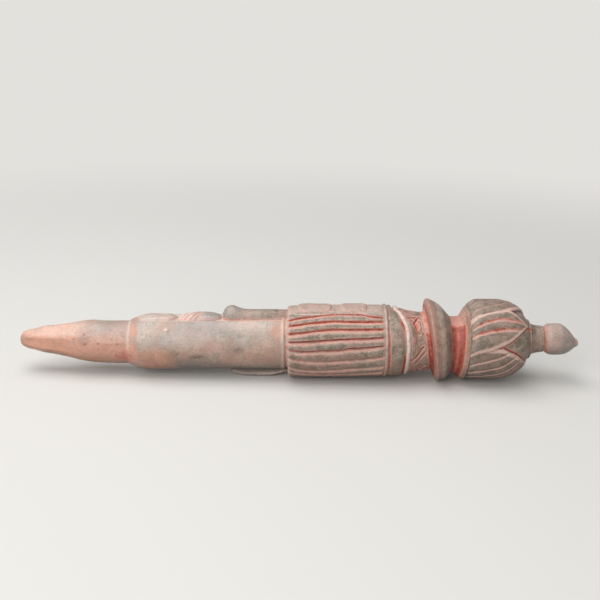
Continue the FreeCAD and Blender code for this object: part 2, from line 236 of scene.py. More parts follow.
def mark(marks, **shares):
    # Where a spot is marked already, the stronger mark stays.
    for kind, share in shares.items():
        marks[kind] = np.maximum(marks[kind], share)


def zone(node, nextNode, step, angle, profile, handShare=0.8):
    # A zone's stations, how far each is past its start, its bare radius and its marks.
    s = stationsBetween(starts[node], starts[nextNode], step)
    past = s - starts[node]
    return s, past, curve(profile)(past) + handShare * handWork(s, angle), stoneMarks(s, angle)


# Meshes.
def addObject(name, data):
    made = bpy.data.objects.new(name, data)
    bpy.context.scene.collection.objects.link(made)
    return made


def ringMesh(name, rings, marks):
    # A closed body from rings of points, each ring closed, with a centre point at both ends.
    count, around = rings.shape[:2]
    corners = rings.reshape(-1, 3)
    corners = np.vstack([corners, rings[0].mean(0), rings[-1].mean(0)]) / 1000
    places = tipPoint + corners[:, :1] * alongStone + corners[:, 1:2] * rightOfStone
    places = places + corners[:, 2:] * frontOfStone
    i, j = np.meshgrid(np.arange(count - 1), np.arange(around), indexing="ij")
    nextJ = (j + 1) % around
    quads = np.stack([i * around + j, (i + 1) * around + j, (i + 1) * around + nextJ, i * around + nextJ], -1)
    quads = quads.reshape(-1, 4)
    j = np.arange(around)
    nextJ = (j + 1) % around
    last = (count - 1) * around
    firstCap = np.stack([np.full(around, count * around), j, nextJ], -1)
    lastCap = np.stack([np.full(around, count * around + 1), last + nextJ, last + j], -1)
    caps = np.vstack([firstCap, lastCap])
    mesh = bpy.data.meshes.new(name)
    mesh.from_pydata(places.tolist(), [], quads.tolist() + caps.tolist())
    mesh.validate()
    mesh.shade_smooth()
    # The rim of each end stays a sharp edge, so the side keeps its shading up to the joint.
    ends = np.zeros(len(mesh.edges) * 2, np.int32)
    mesh.edges.foreach_get("vertices", ends)
    ends = ends.reshape(-1, 2)
    rim = ((ends < around).all(1)) | (((ends >= last) & (ends < last + around)).all(1))
    sharp = mesh.attributes.new("sharp_edge", "BOOLEAN", "EDGE")
    sharp.data.foreach_set("value", rim)
    for kind, values in marks.items():
        spots = np.concatenate([np.broadcast_to(values, (count, around)).ravel(), [0, 0]])
        layer = mesh.attributes.new(kind, "FLOAT", "POINT")
        layer.data.foreach_set("value", np.clip(spots, 0, 1).astype(np.float32))
    return addObject(name, mesh)


def roundSkin(s, angle, radius, leaning=0.0, drop=0.0, shift=0.0):
    # Rings round the stone. A leaning ring tips its front towards the peg.
    turn, lean = np.radians(angle), np.radians(leaning)
    along = s + shift - radius * np.sin(turn) * np.sin(lean)
    front = radius * np.sin(turn) * np.cos(lean) + drop
    return np.stack(np.broadcast_arrays(along, -radius * np.cos(turn), front), -1)


def stationsBetween(first, last, step):
    return np.linspace(first, last, max(3, int(round((last - first) / step)) + 1))[:, None]


def joined(*parts):
    return np.concatenate([np.reshape(part, (-1, 1)) for part in parts])


def anglesAround(count):
    return np.arange(count)[None, :] * 360.0 / count


def settle(node, rings, marks, material=None):
    piece = ringMesh(node + "_carved", rings, marks)
    piece.data.materials.append(material or carvedSoapstone)
    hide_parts(node)
    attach(piece, "root")
    print("made", piece.name, len(piece.data.vertices), "points")


# Soapstone.
def linear(hexColour):
    parts = [int(hexColour[i:i + 2], 16) / 255 for i in (1, 3, 5)]
    return tuple(c / 12.92 if c <= 0.04045 else ((c + 0.055) / 1.055) ** 2.4 for c in parts) + (1.0,)


def emptyTree(owner):
    owner.use_nodes = True
    owner.node_tree.nodes.clear()
    return owner.node_tree


def addNode(tree, kind, settings=None, inputs=None):
    node = tree.nodes.new("ShaderNode" + kind)
    for key, value in (settings or {}).items():
        setattr(node, key, value)
    for key, value in (inputs or {}).items():
        if isinstance(value, bpy.types.NodeSocket):
            tree.links.new(value, node.inputs[key])
        else:
            node.inputs[key].default_value = linear(value) if isinstance(value, str) else value
    return node


# Soapstone is talc rock: soft, a little waxy, grey-green with cream and pink clouds. Rubbed with oil or wax
# it gets a satin sheen, and the red ochre rubbed into it stays in the cuts and thins out to pink beside them.
stoneTones = {
    "ochreThin": "#dba391", "ochreFull": "#b65844", "ochreDeep": "#7d2f22",
    "pale": "#ecd3c7", "cool": "#a19d99", "haze": "#8a776a", "dark": "#4b423a",
    "waxedIor": 1.55,  # talc is near 1.55
    # The clouds in it, as (size in mm, detail, roughness).
    "clouds": {"blotch": (16, 6, 0.65), "haze": (8, 7, 0.68), "mottle": (4, 7, 0.70),
               "speckle": (1.2, 3, 0.6), "fleck": (0.55, 2, 0.5), "grain": (0.8, 3, 0.6),
               "smear": (2.2, 4, 0.6)},
}


def soapstone(name, look):
    material = bpy.data.materials.new(name)
    tree = emptyTree(material)
    place = addNode(tree, "TexCoord").outputs["Object"]
    noises = {}
    for kind, (size, detail, rough) in stoneTones["clouds"].items():
        inputs = {"Vector": place, "Scale": 1000 / size, "Detail": detail, "Roughness": rough}
        noises[kind] = addNode(tree, "TexNoise", None, inputs).outputs[0]
    painted = {}
    for kind in ("ochre", "pale", "warm", "cool", "dark"):
        painted[kind] = addNode(tree, "Attribute", {"attribute_name": kind}).outputs["Fac"]

    # Shares of each tone, worked out from the clouds and from what is marked on the mesh.
    shares = {}
    for kind, source, low, high, most in (
        ("body", noises["mottle"], 0.41, 0.60, 1.0),
        ("blush", noises["blotch"], 0.45, 0.58, look["blush"]),
        ("haze", noises["haze"], 0.47, 0.62, look["haze"]),
        ("specks", noises["speckle"], 0.57, 0.70, look["specks"]),
        ("flecks", noises["fleck"], 0.54, 0.70, look["flecks"]),
        ("chalk", noises["fleck"], 0.46, 0.30, look["flecks"]),
        ("smears", noises["smear"], 0.36, 0.60, 1.0),
    ):
        inputs = {"Value": source, "From Min": low, "From Max": high, "To Max": most}
        shares[kind] = addNode(tree, "MapRange", {"interpolation_type": "SMOOTHSTEP"}, inputs).outputs[0]
    for kind in ("warm", "cool", "pale"):
        # The painted marks, the stains and the painted shade alike, are cloudy: they thin out where the
        # smears are.
        inputs = {0: shares["smears"], 1: 0.32, 2: 0.70}
        cloudy = addNode(tree, "Math", {"operation": "MULTIPLY_ADD"}, inputs).outputs[0]
        inputs = {0: painted[kind], 1: cloudy}
        shares[kind] = addNode(tree, "Math", {"operation": "MULTIPLY", "use_clamp": True}, inputs).outputs[0]
    inputs = {0: shares["smears"], 1: 0.10, 2: painted["ochre"]}
    ochreLevel = addNode(tree, "Math", {"operation": "MULTIPLY_ADD"}, inputs).outputs[0]
    inputs = {"Value": ochreLevel, "From Min": 0.12, "From Max": 0.62}
    shares["ochre"] = addNode(tree, "MapRange", {"interpolation_type": "SMOOTHSTEP"}, inputs).outputs[0]

    ramp = addNode(tree, "ValToRGB", None, {"Fac": ochreLevel})
    steps = ramp.color_ramp.elements
    steps[0].position, steps[0].color = 0.40, linear(stoneTones["ochreThin"])
    steps[1].position, steps[1].color = 0.96, linear(stoneTones["ochreDeep"])
    middle = steps.new(0.72)
    middle.color = linear(stoneTones["ochreFull"])

    colour = addNode(tree, "Mix", {"data_type": "RGBA"}, {
        0: shares["body"], 6: look["shade"], 7: look["light"]}).outputs[2]
    for share, tone in (
        (shares["blush"], look["blushTone"]), (shares["warm"], look["warmTone"]),
        (shares["cool"], stoneTones["cool"]), (shares["haze"], stoneTones["haze"]),
        (shares["pale"], stoneTones["pale"]), (shares["ochre"], ramp.outputs["Color"]),
        (shares["specks"], stoneTones["dark"]), (shares["flecks"], stoneTones["dark"]),
        (shares["chalk"], stoneTones["pale"]), (painted["dark"], stoneTones["dark"]),
    ):
        colour = addNode(tree, "Mix", {"data_type": "RGBA"}, {0: share, 6: colour, 7: tone}).outputs[2]

    inputs = {"Value": noises["mottle"], "From Min": 0.3, "From Max": 0.7, "To Min": look["gloss"][0],
              "To Max": look["gloss"][1]}
    sheen = addNode(tree, "MapRange", None, inputs).outputs[0]
    inputs = {0: shares["ochre"], 1: 0.12, 2: sheen}
    sheen = addNode(tree, "Math", {"operation": "MULTIPLY_ADD", "use_clamp": True}, inputs).outputs[0]
    inputs = {0: noises["grain"], 1: 0.6, 2: noises["smear"]}
    height = addNode(tree, "Math", {"operation": "MULTIPLY_ADD"}, inputs).outputs[0]
    bump = addNode(tree, "Bump", None, {"Height": height, "Strength": look["bump"], "Distance": 0.00045})
    stone = addNode(tree, "BsdfPrincipled", None, {
        "Base Color": colour, "Roughness": sheen, "Normal": bump.outputs[0], "IOR": stoneTones["waxedIor"],
        "Subsurface Weight": 0.06, "Subsurface Scale": 0.0015, "Subsurface Radius": (1, 0.5, 0.35)})
    addNode(tree, "OutputMaterial", None, {"Surface": stone.outputs[0]})
    return material


rubbedSoapstone = soapstone("rubbed_pale_soapstone", {
    "shade": "#a29487", "light": "#c6b6a8", "blushTone": "#cfa396", "blush": 0.62, "warmTone": "#da9b7d",
    "haze": 0.42, "specks": 0.26, "flecks": 0.17, "gloss": (0.30, 0.46), "bump": 0.5})
carvedSoapstone = soapstone("carved_grey_soapstone", {
    "shade": "#7b6b5c", "light": "#a69585", "blushTone": "#b58c7f", "blush": 0.42, "warmTone": "#c48775",
    "haze": 0.34, "specks": 0.34, "flecks": 0.26, "gloss": (0.36, 0.52), "bump": 0.75})
ochredSoapstone = soapstone("red_ochre_soapstone", {
    "shade": "#a9766a", "light": "#c08d80", "blushTone": "#c97563", "blush": 0.6, "warmTone": "#cf8a76",
    "haze": 0.15, "specks": 0.10, "flecks": 0.08, "gloss": (0.30, 0.42), "bump": 0.25})
print("materials made")

# The camera, a little above the table. Places are in mm, angles in degrees.
eye = {"distance": 481.3, "elevation": 17.948, "azimuth": 0.598, "roll": 1.435,
       "lookAt": (-0.529, 0, 42.59), "focal": 54.37452}
elevation, azimuth, roll = (math.radians(eye[key]) for key in ("elevation", "azimuth", "roll"))
cameraData = bpy.data.cameras.new("camera")
cameraData.sensor_width = 36.0
cameraData.lens = eye["focal"]
cameraData.clip_start, cameraData.clip_end = 0.01, 20.0
camera = addObject("camera", cameraData)
turned = Matrix.Rotation(-azimuth, 4, "Z") @ Matrix.Rotation(math.pi / 2 - elevation, 4, "X")
turned = turned @ Matrix.Rotation(roll, 4, "Z")
camera.matrix_world = (Matrix.Translation(Vector(eye["lookAt"]) / 1000) @ turned
                       @ Matrix.Translation((0, 0, eye["distance"] / 1000)))
bpy.context.scene.camera = camera

# Peg: a whittled point and a round shank.
pegLook = {
    "profile": [(0, 0.05), (0.12, 1.2), (0.35, 2.1), (0.8, 2.9), (1.9, 4.1), (3, 4.7), (5.1, 5.4),
                (7.2, 5.75), (10, 6.6), (14.2, 7.5), (18.4, 8), (22.7, 8.75), (27, 9.6), (31.3, 10.45),
                (35.6, 11), (40, 11.4), (58.6, 11.45)],
    "lift": [(0, 1.9), (12, 1.6), (36, 0.6), (50, 0)],  # the point is whittled a little upwards
    "facets": 6, "facetTurn": [(0, 66), (6, 64), (30, 60), (40, 58)], "flatness": 0.925,
    "lower": 22,  # degrees; below this line the stone is salmon right up to the shoulder
}
pegProfile = curve(pegLook["profile"])


def pegSkin(s, angle):
    radius = pegProfile(s)
    step = 360 / pegLook["facets"]
    fromMiddle = (angle - curve(pegLook["facetTurn"])(s) + step / 2) % step - step / 2
    flat = np.minimum(1.0, pegLook["flatness"] / np.cos(np.radians(fromMiddle)))
    strength = between(s, 0.3, 3.0, 22, 38)
    marks = stoneMarks(s, angle)
    ragged = bumps(s, angle, 6.0, 8)
    # Salmon at the point and along the underside, greyer and cooler on top of the shank.
    under = soft(pegLook["lower"] + 14, pegLook["lower"] - 14, turnFrom(angle, 10) + 10 + 12 * ragged)
    mark(marks, warm=0.8 * under * soft(62, 54, s))
    mark(marks, warm=0.95 * soft(38, 26, s + 4 * ragged))
    # The facet above the near ridge is bleached, the one below it is the deepest salmon.
    ridgeAt = curve(pegLook["facetTurn"])(s) - step / 2
    above, below = turnFrom(angle, ridgeAt), -turnFrom(angle, ridgeAt)
    bleached = soft(-3, 5, above + 5 * ragged) * soft(80, 62, above) * between(s, 3, 9, 30, 40)
    mark(marks, pale=0.42 * bleached,
         ochre=0.24 * soft(-2, 4, below) * soft(75, 50, below) * soft(60, 50, s))
    radius = radius * (1 + (flat - 1) * strength) + handWork(s, angle) * soft(0.5, 6, s)
    return radius - holesIn(s, angle, 10.0, marks), marks


angle = anglesAround(240)
pointStations = joined([0.02, 0.12, 0.25, 0.45, 0.7, 1.0], stationsBetween(1.4, starts["peg_shank"], 0.45))
shankStations = stationsBetween(starts["peg_shank"], starts["shaft"], 0.45)
for node, s, slotName in (("peg_point", pointStations, "salmon_soapstone"),
                          ("peg_shank", shankStations, "pale_soapstone")):
    radius, marks = pegSkin(s, angle)
    rings = roundSkin(s, angle, radius, drop=curve(pegLook["lift"])(s))
    settle(node, rings, marks, rubbedSoapstone)

# Shaft, with a flat for the reliefs on its front and one on its back.
shaftLook = {
    "profile": [(0, 11.45), (0.7, 11.55), (1.5, 12.3), (2.6, 12.75), (4.2, 13.3), (6.3, 14.2), (8.5, 14.6),
                (12.8, 14.8), (81.6, 14.8), (82.7, 15), (83.5, 14.95), (84, 14.45), (84.8, 14.35),
                (85.3, 14.6), (85.6, 14.7)],
    "flat": 13.2, "backFlat": 14.75, "flatStart": 6.5,
}
angle = anglesAround(320)
s, past, radius, marks = zone("shaft", "ribbed_drum", 0.42, angle, shaftLook["profile"], 1.0)
turn = np.radians(angle)
waist = soft(82.6, 83.6, past)
frontFlat = shaftLook["flat"] / np.maximum(np.sin(turn), 0.3)
backFlat = shaftLook["backFlat"] / np.maximum(-np.sin(turn), 0.3)
flatShare = soft(shaftLook["flatStart"] - 1.5, shaftLook["flatStart"] + 2.5, past) * (1 - waist)
backShare = soft(starts["back_bar"] - 2.5, starts["back_bar"] + 1.5, s) * (1 - waist)
onFlat = soft(-0.1, 0.5, radius - frontFlat) * flatShare
mark(marks, pale=0.75 * onFlat,
     ochre=0.30 * onFlat * soft(starts["front_bar"] - 6, starts["front_bar"] + 2, s))
radius = radius - flatShare * np.maximum(radius - frontFlat, 0) - backShare * np.maximum(radius - backFlat, 0)
ragged = bumps(s, angle, 3.0, 9)
mark(marks, ochre=(0.40 + 0.2 * ragged) * soft(84.5, 85.2, past),
     dark=(0.18 + 0.1 * ragged) * bell(past - 84.3, 0.4), pale=0.7 * bell(past - 83.2, 0.6))
mark(marks, pale=0.8 * bell(past - 1.6, 0.5) * soft(-30, 10, turnFrom(angle, 20) + 20))
radius = radius - holesIn(s, angle, 14.8, marks)
settle("shaft", roundSkin(s, angle, radius), marks, rubbedSoapstone)


# Reliefs on the flat.
def button(node, first, last, look, crown, paint, material=None, facing=1):
    # A low relief with a rounded outline: its wall rises out of the flat and bends over into its crown.
    middle, halfLength = (first + last) / 2, (last - first) / 2
    halfWidth, edge = look["halfWidth"], look["edge"]
    around = np.linspace(0, 2 * math.pi, look.get("columns", 200), endpoint=False)[None, :]
    outX, outY = (np.sign(way) * np.abs(way) ** look["corner"] for way in (np.cos(around), np.sin(around)))
    inward = np.concatenate([[0, 0, 0], np.linspace(0, edge, 9)[1:],
                             np.linspace(edge, halfWidth - 0.05, 14)[1:]])[:, None]
    share = (halfWidth - inward) / halfWidth
    alongShare = np.maximum(halfLength - inward, 0.3) / halfLength
    xs = middle + outX * halfLength * alongShare * np.ones_like(share)
    ys = -facing * outY * halfWidth * share
    lift = quarterRound(inward / edge)
    zs = crown(xs, ys) - edge * 0.9 * (1 - lift)
    zs[:3] = look["floor"] + (zs[3:4] - look["floor"]) * np.array([0.0, 0.5, 0.92])[:, None]
    marks = stoneMarks(xs, np.degrees(np.arctan2(zs * facing, -ys)))
    paint(marks, xs, ys, soft(edge * 1.6, 0, inward) * np.ones_like(around))
    settle(node, np.stack([xs, ys, facing * zs], -1), marks, material)


padLook = {
    "fromShaft": 3.9, "crown": 15.15, "unevenness": 0.22, "firstSlope": (8.5, 1.5), "lastSlope": (4.5, 0.9),
    "halfWidth": 5.1, "edge": 1.9, "corner": 0.68, "floor": 12.2,
}
padStart, padEnd = starts["shaft"] + padLook["fromShaft"], starts["rope_pad"] - 1.2


def padCrown(xs, ys):
    crown = np.sqrt(padLook["crown"] ** 2 - ys ** 2)
    for (reach, fall), away in ((padLook["firstSlope"], xs - padStart), (padLook["lastSlope"], padEnd - xs)):
        crown = crown - fall * soft(reach, 0.0, away)  # it bends down the shoulder and towards the rope
    return crown + padLook["unevenness"] * flatBumps(xs, ys, 5.0, 21) + 0.1 * flatBumps(xs, ys, 2.0, 22)


def padPaint(marks, xs, ys, rim):
    mark(marks, pale=0.4, ochre=0.16 * rim)


button("lower_front_pad", padStart, padEnd, padLook, padCrown, padPaint, rubbedSoapstone)

ropeLook = {
    "crownLine": [(-1, 14.3), (2.3, 15.2), (6.5, 15.8), (10, 16.3), (13.5, 16.25), (17, 15.8), (20, 14.9),
                  (23, 13.3)],
    "strandPitch": 3.3, "strandDepth": 0.95, "strandEnd": 12.0, "lean": 52,
    "halfWidth": 5.3, "edge": 1.4, "corner": 0.6, "floor": 12.2, "columns": 300,
}
ropeStart = starts["rope_pad"]


def strands(xs, ys):
    # 0 on a strand's crest and 1 between two, and how far the strands have faded.
    phase = (xs - ropeStart - ys / math.tan(math.radians(ropeLook["lean"]))) / ropeLook["strandPitch"]
    fade = soft(ropeLook["strandEnd"] + 1.5, ropeLook["strandEnd"] - 1.0, xs - ropeStart)
    return np.abs((phase % 1) * 2 - 1), fade


def ropeCrown(xs, ys):
    line = curve(ropeLook["crownLine"])(xs - ropeStart)
    crown = line - (line - 13.4) * (np.abs(ys) / 6.6) ** 2.2
    twist, fade = strands(xs, ys)
    return crown - ropeLook["strandDepth"] * twist ** 2.5 * fade


def ropePaint(marks, xs, ys, rim):
    twist, fade = strands(xs, ys)
    twist = twist ** 4
    creamy = soft(8.5, 5.5, xs - ropeStart)
    mark(marks, pale=(0.45 + 0.4 * creamy) * soft(16, 9, xs - ropeStart),
         ochre=np.maximum((0.48 + 0.12 * creamy) * twist * fade, 0.24 * rim))
    mark(marks, ochre=0.30 * (1 - creamy) * fade, dark=0.28 * (1 - creamy) * twist * fade,
         cool=0.4 * soft(12, 16, xs - ropeStart))


button("rope_pad", ropeStart, starts["front_bar"] - 0.9, ropeLook, ropeCrown, ropePaint,
       rubbedSoapstone)

# The bar on the front is a rod sunk to its middle in the flat, with a raised round head.
barLook = {
    "radius": [(0, 0.1), (0.25, 1.6), (0.8, 2.75), (1.9, 3.9), (3.2, 4.5), (4.8, 4.8), (6.6, 4.75), (9, 4.6),
               (12, 4.55), (31.7, 4.25)],
    "lift": [(0, 1.2), (2.5, 1.9), (5.5, 2), (8, 1.2), (11.5, 0.25), (14, 0.05), (31.7, 0)],
    "axisHeight": 13.2,
}
barStart = starts["front_bar"] - 0.7
barEnd = starts["ribbed_drum"] - 0.02
s = joined(np.array([0.02, 0.1, 0.2, 0.35, 0.55, 0.8]) + barStart,
           stationsBetween(barStart + 1.1, barEnd, 0.4))
angle = anglesAround(120)
radius = curve(barLook["radius"])(s - barStart) + 0.6 * handWork(s, angle * 0.3 + 60)
lift = curve(barLook["lift"])(s - barStart) + barLook["axisHeight"]
rings = roundSkin(s, angle, radius, drop=lift)
onStone = np.degrees(np.arctan2(rings[..., 2], -rings[..., 1]))
marks = stoneMarks(s, onStone)
mark(marks, cool=0.75 * soft(13, 9, s - barStart),
     dark=0.08 * soft(5, 10, s - barStart) * soft(60, 35, np.abs(onStone - 62)))
foot = soft(2.2, 0.4, rings[..., 2] - 13.1)
mark(marks, ochre=0.30 * foot + 0.12 * soft(3.4, 1.4, rings[..., 2] - 13.1) * soft(5, 1, s - barStart),
     pale=0.5 * foot)
settle("front_bar", rings, marks)


backBarLook = {"crown": 18.62, "thinning": 1.6, "halfWidth": 4.65, "edge": 1.3, "corner": 0.4, "floor": 12.4}


def backBarCrown(xs, ys):
    ends = soft(10, 0, xs - starts["back_bar"]) + soft(10, 0, barEnd - xs)
    crown = backBarLook["crown"] - backBarLook["thinning"] * ends - 0.25 * (ys / 4.7) ** 2
    return crown + 0.08 * flatBumps(xs, ys, 6.0, 31)


def backBarPaint(marks, xs, ys, rim):
    # The bar is painted pale to read as its lit lower edge, a painted light, and its wall dark where it meets
    # the shaft, a painted shade.
    marks["pale"][2:] = np.maximum(marks["pale"][2:], 0.75)
    marks["dark"][:2] = 0.8  # its wall is painted dark where it meets the shaft: painted shade


button("back_bar", starts["back_bar"], barEnd, backBarLook, backBarCrown, backBarPaint, facing=-1)

# Ribbed drum.
drumLook = {
    "profile": [(0, 18.2), (0.35, 18.8), (0.9, 19.25), (1.9, 19.56), (4, 19.64), (9, 19.78), (48.5, 19.8),
                (50, 19.6), (50.7, 19.2), (51, 19)],
    "panel": 19.05, "grooveDepth": 1.1, "grooveWide": 0.88, "crownDrop": 0.65,
    # Where the seen grooves run, in degrees at stations from the drum's start.
    "grooves": [
        [(0.5, 53), (6.7, 57), (13, 60), (25, 65), (38.3, 64.5), (44.3, 59), (50, 57)],
        [(0.5, 43), (5.3, 44.5), (13, 48), (25, 50.5), (38, 49.5), (50.5, 49.5)],
        [(0.5, 29.5), (6.7, 31), (14.5, 34), (25, 36.5), (38, 36), (50.3, 36.5)],
        [(0.5, 16.5), (9.3, 17), (17, 18.5), (25, 20), (32.5, 21), (40.3, 21.5), (50.3, 23)],
        [(0.5, 4), (9.3, 1), (17, 2.5), (25, 3), (32.5, 5.5), (40.3, 7), (50.3, 9.5)],
        [(0.5, -10), (9.3, -14), (17, -16), (25, -15), (32.5, -13), (40.5, -11), (50.3, -7.5)],
        [(0.5, -28.5), (9.3, -35), (17, -36.5), (25, -35), (33, -32.5), (41, -30), (50.5, -26)],
        [(1.5, -41.5), (12, -47.5), (25, -50), (38.5, -47.5), (49, -42)],
    ],
    "unseenGrooves": 11, "unseenLast": -240,
}
wander = np.random.default_rng(4)
grooves = [curve(points) for points in drumLook["grooves"]]
lastSeen = -50.0
pitch = (drumLook["unseenLast"] - lastSeen) / drumLook["unseenGrooves"]
for i in range(drumLook["unseenGrooves"]):
    bends = wander.uniform(-1.6, 1.6, 4)
    level = lastSeen + pitch * (i + 1)
    grooves.append(curve([(0, level + bends[0] + 4), (14, level + bends[1]), (32, level + bends[2]),
                          (51, level + bends[3] + 3)]))
angle = anglesAround(560)
s, past, radius, marks = zone("ribbed_drum", "edge_ring", 0.4, angle, drumLook["profile"])
perDegree = math.pi / 180 * 19.6
lines = np.stack([groove(past)[:, 0] for groove in grooves])  # groove by station
away = np.stack([turnFrom(angle, line[:, None]) for line in lines]) * perDegree
side = np.take_along_axis(away, np.abs(away).argmin(0)[None], 0)[0]  # above the groove is positive
nearest = np.abs(side)
grooveNoise = bumps(s, angle, 3.2, 41, 19.6)
wide = drumLook["grooveWide"] * (1 + 0.22 * grooveNoise)
ends = between(past, 0.15, 1.3, 49.6, 50.9)
dip = soft(1.0, 0.12, nearest / wide) * ends
onPanel = between(angle, 60.5, 65.5, 119, 124)
radius = radius - (1 - onPanel) * drumLook["crownDrop"] * (1 - np.minimum(nearest, 2.9) / 2.9) ** 2
radius = radius - onPanel * (19.8 - drumLook["panel"])
spots = onRound(s, angle, 19.6) * np.array([0.35, 1.0, 1.0])
radius = radius + 0.06 * roughness3d(spots, 1.1, 42)
radius = radius - drumLook["grooveDepth"] * dip * (0.9 + 0.15 * grooveNoise)
radius = np.minimum(radius, 19.8)  # no rib stands out below the drum, which rests on the table
stray = bumps(s, angle, 1.6, 43, 19.6)
# Ochre lies in the cuts: it is painted deepest under the upper wall of a cut, as painted shade, and thins out
# to salmon and pale on its lower lip, as painted light; on cuts that face up the upper wall is painted less
# deep and the lip wider.
upperWall = soft(1.0, 0.35, np.abs(side - 0.30 * wide) / (0.75 * wide))
facesUp = between(angle, 8, 35, 90, 120)
mark(marks, ochre=(0.84 - 0.14 * facesUp + 0.10 * stray) * upperWall * ends)
lowerLip = bell(side + 1.15 * wide, 0.95 + 0.35 * facesUp)
mark(marks, ochre=(0.36 + 0.08 * facesUp + 0.14 * stray) * lowerLip * ends,
     pale=(0.40 + 0.3 * stray) * lowerLip * ends)
mark(marks, pale=(0.25 + 0.3 * stray) * bell(side - 1.25 * wide, 0.4) * ends)
# A dark scratch with a cream edge runs below the two tablets.
belowTablets = between(past, 4.5, 6.5, 26.0, 28.5)
scratch = bell((angle - 69.0) * perDegree, 0.45) * belowTablets
radius = radius - 0.3 * scratch
mark(marks, dark=0.4 * scratch, pale=0.85 * bell((angle - 66.3) * perDegree, 0.4) * belowTablets)
leftRim = soft(1.8, 0.2, past)
mark(marks, ochre=(0.34 + 0.15 * stray) * leftRim, pale=0.6 * np.maximum(leftRim, soft(49.3, 50.8, past)))
mark(marks, pale=0.35 * onPanel)
settle("ribbed_drum", roundSkin(s, angle, radius), marks)

tabletLook = {"radius": 19.85, "halfWidth": 6.5, "edge": 1.3, "corner": 0.5, "floor": 17.2}


def tabletCrown(xs, ys):
    return np.sqrt(tabletLook["radius"] ** 2 - ys ** 2) + 0.12 * flatBumps(xs, ys, 4.0, 51)


def tabletPaint(marks, xs, ys, rim):
    mark(marks, pale=0.35, warm=0.5 * flatBumps(xs, ys, 3.0, 52) + 0.3, ochre=0.16 * rim)


for node, length, slotName in (("lower_tablet", 18.0, "pink_soapstone"),
                               ("upper_tablet", 14.5, "grey_soapstone")):
    button(node, starts[node], starts[node] + length, tabletLook, tabletCrown, tabletPaint)

# Rings above the drum.
ringLook = {
    # How far the pale ridge wanders along the stone on its way round: (angle, mm).
    "wave": [(-180, 0.3), (-120, -0.6), (-65, -1.2), (-12.5, 0.6), (10.5, 1.8), (37, 2.3), (53.5, 1.2),
             (72.5, -0.4), (85, -2.2), (100, -2.3), (140, -0.6), (180, 0.3)],
    "edgeRing": [(0, 19), (0.35, 19.35), (0.9, 19.5), (1.5, 19.3), (2, 18.7), (2.5, 18.55), (3, 18.9)],
    "ringBand": [(0, 18.9), (0.6, 19.05), (3.5, 19.1), (5, 18.9), (5.8, 18.2), (6.5, 17.5)],
    "ridge": [(0, 17.5), (0.3, 18), (0.8, 18.5), (1.4, 18.65), (2, 18.5), (2.45, 18), (2.82, 17.4)],
}
leanAt = curve([(starts["ring_band"], 0.0), (starts["pale_ridge"], ringLean), (starts["flange"], ringLean),
                (starts["collar"], 0.0)])
waveShare = curve([(starts["ring_band"], 0.0), (starts["pale_ridge"], 1.0), (starts["zigzag_band"], 1.0),
                   (starts["zigzag_band"] + 6.5, 0.0)])


def wave(s, angle):
    return waveShare(s) * curve(ringLook["wave"])(turnFrom(angle, 0.0))


angle = anglesAround(420)
s, past, radius, marks = zone("edge_ring", "ring_band", 0.25, angle, ringLook["edgeRing"])
stray = bumps(s, angle, 2.2, 61, 19)
radius = curve(ringLook["edgeRing"])(past + 0.25 * stray) + 0.8 * handWork(s, angle)  # its edge wavers
inGroove = between(past, 1.5, 2.0, 2.7, 3.3)
lowSide = soft(40, 15, np.abs(turnFrom(angle, -15)) - 20)
mark(marks, ochre=inGroove * (0.22 + 0.36 * lowSide) * (1 + 0.2 * stray))
mark(marks, ochre=0.55 * soft(0.5, 0.0, past) * lowSide, pale=(0.34 + 0.2 * stray) * soft(2.1, 0.9, past))
mark(marks, ochre=(0.12 + 0.06 * stray) * soft(2.1, 0.9, past))
settle("edge_ring", roundSkin(s, angle, radius), marks)

s, past, radius, marks = zone("ring_band", "pale_ridge", 0.3, angle, ringLook["ringBand"])
stray = bumps(s, angle, 2.6, 62, 19)
upperPatch = bell(turnFrom(angle, 48), 14)
lowerPatch = soft(8, -10, turnFrom(angle, -5)) * soft(-95, -70, turnFrom(angle, -5))
foot = soft(4.6, 5.9, past)
mark(marks, ochre=foot * (0.15 + 0.5 * upperPatch + 0.6 * lowerPatch) * (1 + 0.25 * stray))
mark(marks, ochre=0.45 * soft(0.5, 0.0, past) * lowSide,
     pale=0.75 * soft(5.3, 6.2, past) * (1 - upperPatch) * (1 - lowerPatch))
settle("ring_band", roundSkin(s, angle, radius, leanAt(s), shift=wave(s, angle)), marks)

s, past, radius, marks = zone("pale_ridge", "zigzag_band", 0.22, angle, ringLook["ridge"])
stray = bumps(s, angle, 2.0, 63, 18)
mark(marks, pale=0.92 * soft(0.05, 0.5, past) + 0.1 * stray, ochre=0.07 + 0.05 * stray)
mark(marks, ochre=0.18 * soft(0.05, 0.6, past) * soft(5, -45, turnFrom(angle, 0)))
footShare = soft(0.6, 0.1, past)
mark(marks, ochre=footShare * (0.2 + 0.45 * upperPatch + 0.55 * lowerPatch) * (1 + 0.25 * stray))
settle("pale_ridge", roundSkin(s, angle, radius, leanAt(s), shift=wave(s, angle)), marks)

